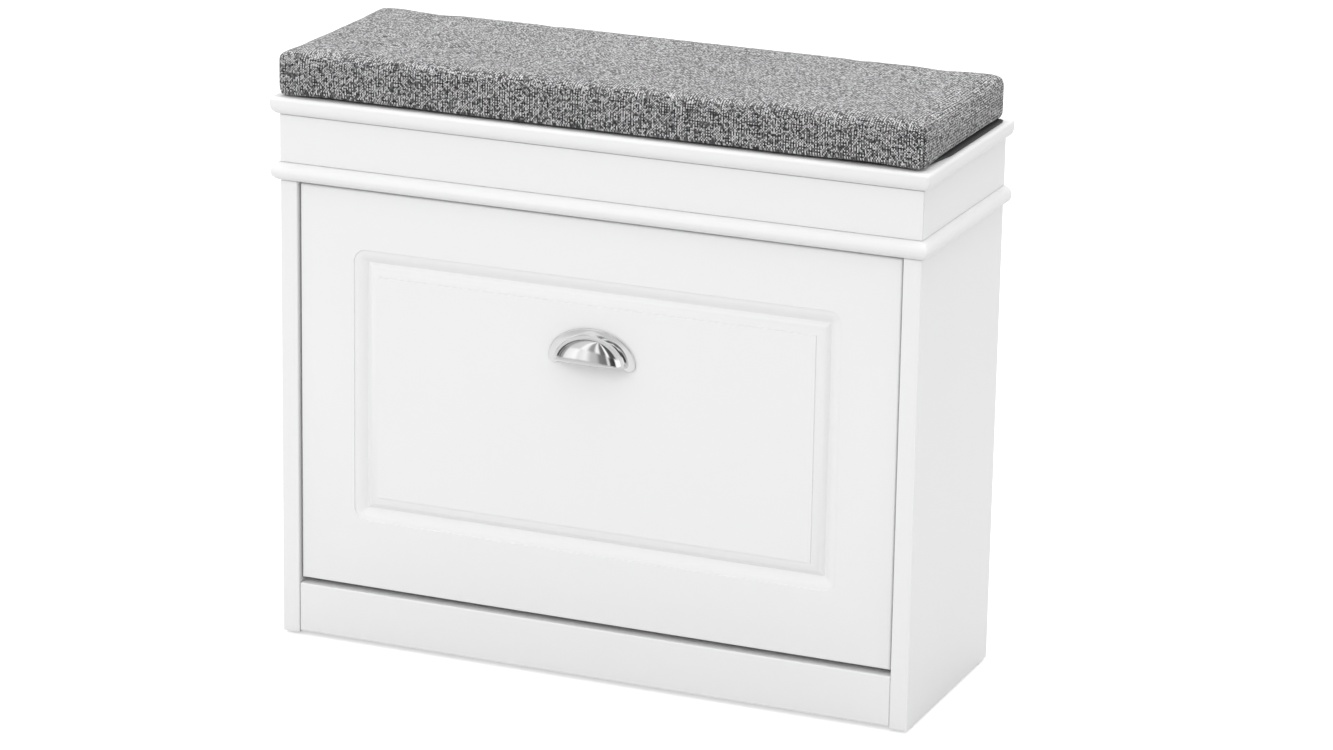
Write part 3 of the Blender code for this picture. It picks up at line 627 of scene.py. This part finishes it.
def make_weave_group():
    """Plain weave of dark warp and light weft, from a UV map in metres: thread shade, relief and a
    mask of painted shade for the gaps.
    """
    group, given, out = start_group(
        "linen_weave",
        [("UV", "Vector", None), ("Thread", "Float", THREAD), ("Slub", "Float", 1.0)],
        [("Shade", "Float"), ("Height", "Float"), ("Gap Shade", "Float")])

    def math_node(operation, first, second=None, third=None):
        made = add_node(group, "ShaderNodeMath", operation=operation)
        for socket, value in zip(made.inputs, (first, second, third)):
            if hasattr(value, "links"):
                link(group, value, socket)
            elif value is not None:
                socket.default_value = value
        return made.outputs[0]

    placed = given.outputs["UV"]
    for scale, reach in THREAD_WANDER:
        wander = add_node(group, "ShaderNodeTexNoise", Scale=scale, Detail=1.0)
        link(group, given.outputs["UV"], wander.inputs["Vector"])
        offset = add_node(group, "ShaderNodeVectorMath", operation="MULTIPLY_ADD")
        link(group, wander.outputs["Color"], offset.inputs[0])
        offset.inputs[1].default_value = (reach, reach, 0.0)
        link(group, placed, offset.inputs[2])
        placed = offset.outputs[0]
    split = add_node(group, "ShaderNodeSeparateXYZ")
    link(group, placed, split.inputs[0])
    count, wave = {}, {}
    for axis in ("X", "Y"):
        count[axis] = math_node("DIVIDE", split.outputs[axis], given.outputs["Thread"])
        wave[axis] = math_node("SINE", math_node("MULTIPLY", count[axis], math.pi))
    crossing = math_node("MULTIPLY", wave["X"], wave["Y"])
    over = math_node("GREATER_THAN", crossing, 0.0)
    shades = []
    for across, running, middle, (seed, apart) in (("X", "Y", WARP_SHADE, WARP_NOISE),
                                                   ("Y", "X", WEFT_SHADE, WEFT_NOISE)):
        thread = math_node("FLOOR", count[across])
        place = add_node(group, "ShaderNodeCombineXYZ")
        link(group, math_node("MULTIPLY", thread, apart), place.inputs[0])
        link(group, math_node("MULTIPLY", count[running], SLUB_STRETCH), place.inputs[1])
        place.inputs[2].default_value = seed
        slub = add_node(group, "ShaderNodeTexNoise", Scale=1.0, Detail=3.0, Roughness=0.7)
        link(group, place.outputs[0], slub.inputs["Vector"])
        stretch = math_node("FLOOR", count[running])
        fleck_place = add_node(group, "ShaderNodeCombineXYZ")
        link(group, thread, fleck_place.inputs[0])
        link(group, stretch, fleck_place.inputs[1])
        fleck_place.inputs[2].default_value = seed
        fleck = add_node(group, "ShaderNodeTexWhiteNoise", noise_dimensions="3D")
        link(group, fleck_place.outputs[0], fleck.inputs["Vector"])
        swing = math_node("SUBTRACT", slub.outputs["Fac"], 0.5)
        row = math_node("MULTIPLY_ADD", math_node("PINGPONG", thread, 1.0), ROW_SWING,
                        middle - ROW_SWING / 2)
        spread = math_node("MULTIPLY_ADD", math_node("SUBTRACT", fleck.outputs["Value"], 0.5),
                           FLECK_SWING, row)
        shades.append(math_node("MULTIPLY_ADD", math_node("MULTIPLY", swing, given.outputs["Slub"]),
                                SLUB_SWING, spread))
    shown = add_node(group, "ShaderNodeMix", data_type="FLOAT")
    link(group, over, shown.inputs[0])
    link(group, shades[0], shown.inputs[2])
    link(group, shades[1], shown.inputs[3])
    link(group, shown.outputs[0], out.inputs["Shade"])
    rise = math_node("POWER", math_node("ABSOLUTE", crossing), 0.5)
    link(group, math_node("MULTIPLY_ADD", shown.outputs[0], 0.5, rise), out.inputs["Height"])
    # Mask for painted shade: highest at the threads' borders, where they dip.
    link(group, math_node("SUBTRACT", 1.0, rise), out.inputs["Gap Shade"])
    return group


def make_linen():
    """Matt cloth: the weave picks each thread's grey, and the gaps and corner seams are darkened with
    painted shade.
    """
    mat = bpy.data.materials.new("grey_melange_linen")
    mat.use_nodes = True
    tree = mat.node_tree
    shader = tree.nodes["Principled BSDF"]
    shader.inputs["Roughness"].default_value = 0.9
    shader.inputs["Specular IOR Level"].default_value = 0.2
    shader.inputs["Sheen Weight"].default_value = 0.15
    shader.inputs["Sheen Roughness"].default_value = 0.6
    uv = add_node(tree, "ShaderNodeUVMap", uv_map="cover")
    weave = add_node(tree, "ShaderNodeGroup", node_tree=make_weave_group(), Thread=THREAD, Slub=1.0)
    link(tree, uv.outputs["UV"], weave.inputs["UV"])
    ramp = add_node(tree, "ShaderNodeValToRGB")
    link(tree, weave.outputs["Shade"], ramp.inputs["Fac"])
    stops = ramp.color_ramp.elements
    stops[0].position, stops[0].color = SHADE_DARK, THREAD_DARK
    stops[1].position, stops[1].color = SHADE_LIGHT, THREAD_LIGHT
    stops.new(SHADE_MID).color = THREAD_MID
    # Painted shade: the gaps between threads are darkened in the colour.
    gap_shaded = add_node(tree, "ShaderNodeMix", data_type="RGBA", blend_type="MULTIPLY")
    link(tree, weave.outputs["Gap Shade"], gap_shaded.inputs["Factor"])
    link(tree, ramp.outputs["Color"], gap_shaded.inputs[6])
    gap_shaded.inputs[7].default_value = GAP_SHADE_TINT
    # Painted shade: the corner seams are darkened through the seam mask.
    seam = add_node(tree, "ShaderNodeAttribute", attribute_name="seam")
    seam_shaded = add_node(tree, "ShaderNodeMix", data_type="RGBA", blend_type="MULTIPLY")
    link(tree, seam.outputs["Fac"], seam_shaded.inputs["Factor"])
    link(tree, gap_shaded.outputs[2], seam_shaded.inputs[6])
    seam_shaded.inputs[7].default_value = SEAM_SHADE_TINT
    link(tree, seam_shaded.outputs[2], shader.inputs["Base Color"])
    bump = add_node(tree, "ShaderNodeBump", Distance=WEAVE_DEPTH, Strength=WEAVE_STRENGTH)
    link(tree, weave.outputs["Height"], bump.inputs["Height"])
    link(tree, bump.outputs["Normal"], shader.inputs["Normal"])
    return mat


def read_points(piece):
    flat = np.empty(len(piece.data.vertices) * 3, dtype=np.float32)
    piece.data.vertices.foreach_get("co", flat)
    return flat.reshape(-1, 3).astype(float)


def write_points(piece, points):
    piece.data.vertices.foreach_set("co", points.astype(np.float32).ravel())
    piece.data.update()


def swell(piece, most):
    """Blows the cover up like a stuffed case, with no point moving further than `most`."""
    before = read_points(piece)
    take(piece)
    cloth = piece.modifiers.new("cloth", "CLOTH")
    cloth.settings.quality = COVER_QUALITY
    cloth.settings.use_pressure = True
    cloth.settings.uniform_pressure_force = PAD_PRESSURE
    cloth.settings.effector_weights.gravity = 0.0
    cloth.settings.tension_stiffness = COVER_STIFFNESS
    cloth.settings.compression_stiffness = COVER_STIFFNESS
    cloth.point_cache.frame_start = 1
    cloth.point_cache.frame_end = PAD_FRAMES
    for number in range(1, PAD_FRAMES + 1):
        bpy.context.scene.frame_set(number)
    bpy.ops.object.modifier_apply(modifier=cloth.name)
    bpy.context.scene.frame_set(1)
    moved = read_points(piece) - before
    length = np.linalg.norm(moved, axis=1, keepdims=True)
    kept = most * np.tanh(length / most) / np.maximum(length, 1e-9)
    write_points(piece, before + moved * kept)


def upright(edge, least):
    """Whether an edge rises by more than the least height."""
    return abs(edge.verts[0].co.z - edge.verts[1].co.z) > least


def cut_grid(piece, low, high):
    """Cuts the pad's faces into cells about PAD_GRID wide, from one rounded edge to the other."""
    pick(piece, "faces", lambda face: True)
    for axis in range(3):
        first, last = low[axis] + PAD_ROUND, high[axis] - PAD_ROUND
        cells = max(2, round((last - first) / PAD_GRID))
        normal = [float(axis == k) for k in range(3)]
        for k in range(1, cells):
            place = [0.0, 0.0, 0.0]
            place[axis] = first + (last - first) * k / cells
            bpy.ops.mesh.select_all(action="SELECT")
            bpy.ops.mesh.bisect(plane_co=place, plane_no=normal)
    bpy.ops.object.mode_set(mode="OBJECT")


def fade(values, start, stop):
    """Smooth step from 0 at start to 1 at stop."""
    share = np.clip((values - start) / (stop - start), 0, 1)
    return share * share * (3 - 2 * share)


def sew_corners(points, centre, half, top):
    """Pulls the cover in along its four corner seams; gives how deep each point lies in one."""
    off_x, off_y = points[:, 0] - centre.x, points[:, 1] - centre.y
    gap = (half.x - abs(off_x)) - (half.y - abs(off_y))
    at_corner = (abs(off_x) > half.x - SEAM_REACH) & (abs(off_y) > half.y - SEAM_REACH)
    running = 1 - fade(points[:, 2], top - SEAM_ENDS[0], top - SEAM_ENDS[1])
    depth = np.exp(-(gap / SEAM_WIDTH) ** 2) * at_corner * running
    points[:, 0] -= np.sign(off_x) * depth * SEAM_DEPTH
    points[:, 1] -= np.sign(off_y) * depth * SEAM_DEPTH
    return depth


def press_creases(points, top):
    """Short soft wrinkles in the cover's top: each is x, y, half length, half width and turn."""
    for x, y, length, width, turn in PAD_CREASES:
        angle = math.radians(turn)
        along = (points[:, 0] - x) * math.cos(angle) + (points[:, 1] - y) * math.sin(angle)
        across = (points[:, 1] - y) * math.cos(angle) - (points[:, 0] - x) * math.sin(angle)
        dent = np.exp(-(along / length) ** 2 - (across / width) ** 2)
        on_top = fade(points[:, 2], top - CREASE_FADES[0], top - CREASE_FADES[1])
        points[:, 2] -= dent * CREASE_DEPTH * on_top


def sink_rim(points, low, centre, half):
    """Lets the cover's lower rim rest on the seat, and less so towards the back on the right."""
    inset = np.minimum(half.x - abs(points[:, 0] - centre.x), half.y - abs(points[:, 1] - centre.y))
    rim = 1 - fade(inset, RIM_WIDTH * RIM_FLAT_SHARE, RIM_WIDTH)
    rim *= 1 - fade(points[:, 2], low.z, low.z + RIM_HEIGHT)
    start = low.y + RIM_FADE_FROM
    lifted = fade(points[:, 1], start, start + RIM_FADE)
    lifted *= fade(points[:, 0], 0.0, half.x * RIM_FADE_SIDEWAYS)
    points[:, 2] -= rim * RIM_DROP * (1 - RIM_DROP_LOST * lifted)


def seat_pad():
    low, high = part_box("cushion")
    shrink = Vector(PAD_START_IN)
    start_low, start_high = low + shrink, high - shrink
    start_low.z = low.z
    pad = box_piece("seat_pad_cover", start_low, start_high)
    for sign, corner in ((-1, PAD_FRONT_CORNER), (1, PAD_BACK_CORNER)):
        round_edges(pad, lambda edge: upright(edge, PAD_TALL) and edge.verts[0].co.y * sign > 0,
                    corner, 6)
    round_edges(pad, lambda edge: not upright(edge, PAD_TALL), PAD_ROUND, 4)
    cut_grid(pad, start_low, start_high)
    swell(pad, PAD_MOST_SWELL)
    apply_modifier(pad, "SUBSURF", levels=1, render_levels=1)
    centre, half = (low + high) / 2, (high - low) / 2
    points = read_points(pad)
    points[:, 2] = np.maximum(points[:, 2], low.z)
    depth = sew_corners(points, centre, half, high.z)
    press_creases(points, high.z)
    sink_rim(points, low, centre, half)
    write_points(pad, points)
    # The seam mask carries painted shade into the corner seams.
    seam_shade_mask = pad.data.attributes.new("seam", "FLOAT", "POINT")
    seam_shade_mask.data.foreach_set("value", (depth * SEAM_SHADE).astype(np.float32))
    unfold(pad, high.z)
    take(pad)
    bpy.ops.object.shade_smooth()
    stands_for(pad, "pad", "grey_fabric", make_linen(), "cushion")


def unfold(piece, top):
    """UV map in metres: the top as it lies, with each side folded out flat from it."""
    layer = piece.data.uv_layers.new(name="cover")
    for face in piece.data.polygons:
        across, ahead = abs(face.normal.x), abs(face.normal.y)
        on_side = abs(face.normal.z) < max(across, ahead)
        for corner in face.loop_indices:
            point = piece.data.vertices[piece.data.loops[corner].vertex_index].co
            drop = top - point.z
            u, v = point.x, point.y
            if on_side and across > ahead:
                u += math.copysign(drop, point.x)
            elif on_side:
                v += math.copysign(drop, face.normal.y)
            layer.data[corner].uv = (u, v)


seat_pad()

# Pad lining: dark non-slip felt sewn under the pad.
# It stops short of the pad's edges, but on the right it is drawn out nearly flush and narrowed
# towards the front, a dark strip of painted shade where the pad sits a little high.
SHADE_STRIP_REACH = 0.0085
SHADE_STRIP_TAPER = 0.055
LINING_THIN = 0.001
LINING_CORNER = 0.004
LINING_ROUND = 0.0006


def lining():
    low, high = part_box("cushion_lining")
    piece = box_piece("seat_pad_lining", low, high)
    # Painted shade: the right end is pulled out to show as the dark strip under the pad's raised
    # edge.
    pick(piece, "faces", lambda face: face.normal.x > 0.9)
    bpy.ops.mesh.extrude_region_move(TRANSFORM_OT_translate={"value": (SHADE_STRIP_REACH, 0, 0)})
    bm = bmesh.from_edit_mesh(piece.data)
    for vert in bm.verts:
        if vert.select and vert.co.y < 0:
            vert.co.y += SHADE_STRIP_TAPER
    bmesh.update_edit_mesh(piece.data)
    bpy.ops.object.mode_set(mode="OBJECT")
    round_edges(piece, lambda edge: upright(edge, LINING_THIN), LINING_CORNER, 4)
    round_edges(piece, lambda edge: edge.calc_face_angle(0) > SHARP, LINING_ROUND, 2)
    smooth_shade(piece)
    felt = surface_material(
        "dark_lining", light=(0.06, 0.06, 0.062, 1), dark=(0.04, 0.04, 0.042, 1),
        smooth=0.8, rough=0.95, grain=0.0008, depth=0.0001)
    stands_for(piece, "pad", "dark_lining", felt, "cushion_lining")


lining()

# Studio: a pale floor, an even white room, and a long lens.
# Soft light comes from above and from the front left. Only mirrored light sees the tall screens of
# light and dark round the set, each given as a bearing in degrees and a tone.
FLOOR_SIZE = 30.0
FLOOR_BELOW = 0.0002
CAMERA_AT = Vector((1.5738, -3.7049, 1.4727))
CAMERA_TURN = (73.120, -0.932, 22.895)
CAMERA_LENS = 131.6
ROOM_LIGHT = 1.08
TOP_POWER = 50
TOP_SIZE = (2.6, 1.8)
KEY_POWER = 20
KEY_SIZE = (1.2, 1.2)
FLOOR_TONE = 0.60
FLOOR_GLOW = 0.55
SCREEN_CHANGE = (0.34, 0.5)
LOW_SCREENS = ((-180, 0.4), (-110, 0.10), (-84, 0.03), (-79, 0.3), (-75, 0.35), (-71, 0.05),
               (-66, 0.5), (-61, 0.35), (-56, 1.0), (-34, 1.25), (-30, 0.95), (-20, 1.15),
               (-13, 0.65), (-4, 0.6), (1, 0.26), (15, 0.2), (19, 0.9), (23, 0.9), (28, 0.07),
               (49, 0.05), (53, 1.25), (94, 1.25), (100, 0.05), (130, 0.3), (180, 0.4))
HIGH_SCREENS = ((-180, 0.3), (-96, 0.03), (-84, 0.05), (-78, 0.6), (-70, 0.3), (-56, 0.75),
                (-34, 0.8), (-30, 1.2), (-22, 1.2), (-16, 0.4), (-8, 0.35), (-4, 1.2), (2, 1.1),
                (6, 0.18), (18, 0.16), (22, 1.3), (29, 1.2), (33, 0.12), (60, 0.08), (70, 0.7),
                (90, 0.9), (100, 0.06), (180, 0.3))


def studio_floor():
    """A matt floor just under the feet, which glows a little where the camera sees it."""
    select_nothing()
    bpy.ops.mesh.primitive_plane_add(size=FLOOR_SIZE, location=(0, 0, cad_bounds[0][2] - FLOOR_BELOW))
    floor = bpy.context.object
    floor.name = floor.data.name = "studio_floor"
    mat = bpy.data.materials.new("pale_floor")
    mat.use_nodes = True
    tree = mat.node_tree
    shader = tree.nodes["Principled BSDF"]
    shader.inputs["Base Color"].default_value = (FLOOR_TONE, FLOOR_TONE, FLOOR_TONE, 1)
    shader.inputs["Roughness"].default_value = 0.85
    shader.inputs["Emission Color"].default_value = (1, 1, 1, 1)
    path = add_node(tree, "ShaderNodeLightPath")
    seen = add_node(tree, "ShaderNodeMath", operation="MULTIPLY")
    seen.inputs[1].default_value = FLOOR_GLOW
    link(tree, path.outputs["Is Camera Ray"], seen.inputs[0])
    link(tree, seen.outputs[0], shader.inputs["Emission Strength"])
    floor.data.materials.append(mat)


def softbox(name, at, aim, size, power):
    """A rectangular lamp that lights the set and doesn't show in reflections."""
    light = bpy.data.lights.new(name, "AREA")
    light.shape = "RECTANGLE"
    light.size, light.size_y = size
    light.energy = power
    lamp = bpy.data.objects.new(name, light)
    bpy.context.scene.collection.objects.link(lamp)
    lamp.location = at
    lamp.visible_glossy = False
    lamp.rotation_euler = (Vector(aim) - Vector(at)).to_track_quat("-Z", "Y").to_euler()


def studio_light():
    """An even white room; mirrored light sees the light and dark screens in place of it."""
    world = bpy.data.worlds.new("studio")
    world.use_nodes = True
    tree = world.node_tree
    background = tree.nodes["Background"]
    path = add_node(tree, "ShaderNodeLightPath")
    where = add_node(tree, "ShaderNodeTexCoord")
    split = add_node(tree, "ShaderNodeSeparateXYZ")
    link(tree, where.outputs["Generated"], split.inputs[0])
    back = add_node(tree, "ShaderNodeMath", operation="MULTIPLY")
    back.inputs[1].default_value = -1.0
    link(tree, split.outputs["Y"], back.inputs[0])
    bearing = add_node(tree, "ShaderNodeMath", operation="ARCTAN2")
    link(tree, split.outputs["X"], bearing.inputs[0])
    link(tree, back.outputs[0], bearing.inputs[1])
    turn = add_node(tree, "ShaderNodeMath", operation="MULTIPLY_ADD")
    turn.inputs[1].default_value = 1 / math.tau
    turn.inputs[2].default_value = 0.5
    link(tree, bearing.outputs[0], turn.inputs[0])
    height = add_node(tree, "ShaderNodeMapRange", interpolation_type="SMOOTHSTEP",
                      From_Min=SCREEN_CHANGE[0], From_Max=SCREEN_CHANGE[1])
    link(tree, split.outputs["Z"], height.inputs["Value"])
    seen = add_node(tree, "ShaderNodeMix", data_type="RGBA")
    link(tree, height.outputs["Result"], seen.inputs["Factor"])
    for screens, socket in ((LOW_SCREENS, 6), (HIGH_SCREENS, 7)):
        ramp = add_node(tree, "ShaderNodeValToRGB")
        link(tree, turn.outputs[0], ramp.inputs["Fac"])
        stops = ramp.color_ramp.elements
        for stop, (degrees, tone) in zip(stops, (screens[0], screens[-1])):
            stop.position, stop.color = 0.5 + degrees / 360, (tone, tone, tone, 1)
        for degrees, tone in screens[1:-1]:
            stops.new(0.5 + degrees / 360).color = (tone, tone, tone, 1)
        link(tree, ramp.outputs["Color"], seen.inputs[socket])
    room = add_node(tree, "ShaderNodeMix", data_type="RGBA")
    link(tree, path.outputs["Is Glossy Ray"], room.inputs["Factor"])
    room.inputs[6].default_value = (ROOM_LIGHT, ROOM_LIGHT, ROOM_LIGHT, 1)
    link(tree, seen.outputs[2], room.inputs[7])
    link(tree, room.outputs[2], background.inputs["Color"])
    bpy.context.scene.world = world
    softbox("top_softbox", (-0.1, 0.5, 2.8), (-0.1, 0.1, 0.3), TOP_SIZE, TOP_POWER)
    softbox("key_softbox", (-1.0, -2.6, 2.2), (0, 0, 0.3), KEY_SIZE, KEY_POWER)


def studio_camera():
    camera = bpy.data.cameras.new("studio_camera")
    camera.lens = CAMERA_LENS
    camera.sensor_width = 36.0
    camera.clip_end = 100.0
    holder = bpy.data.objects.new("studio_camera", camera)
    bpy.context.scene.collection.objects.link(holder)
    holder.location = CAMERA_AT
    holder.rotation_euler = [math.radians(angle) for angle in CAMERA_TURN]
    bpy.context.scene.camera = holder


studio_floor()
studio_light()
studio_camera()
bpy.context.scene.view_settings.view_transform = "Standard"
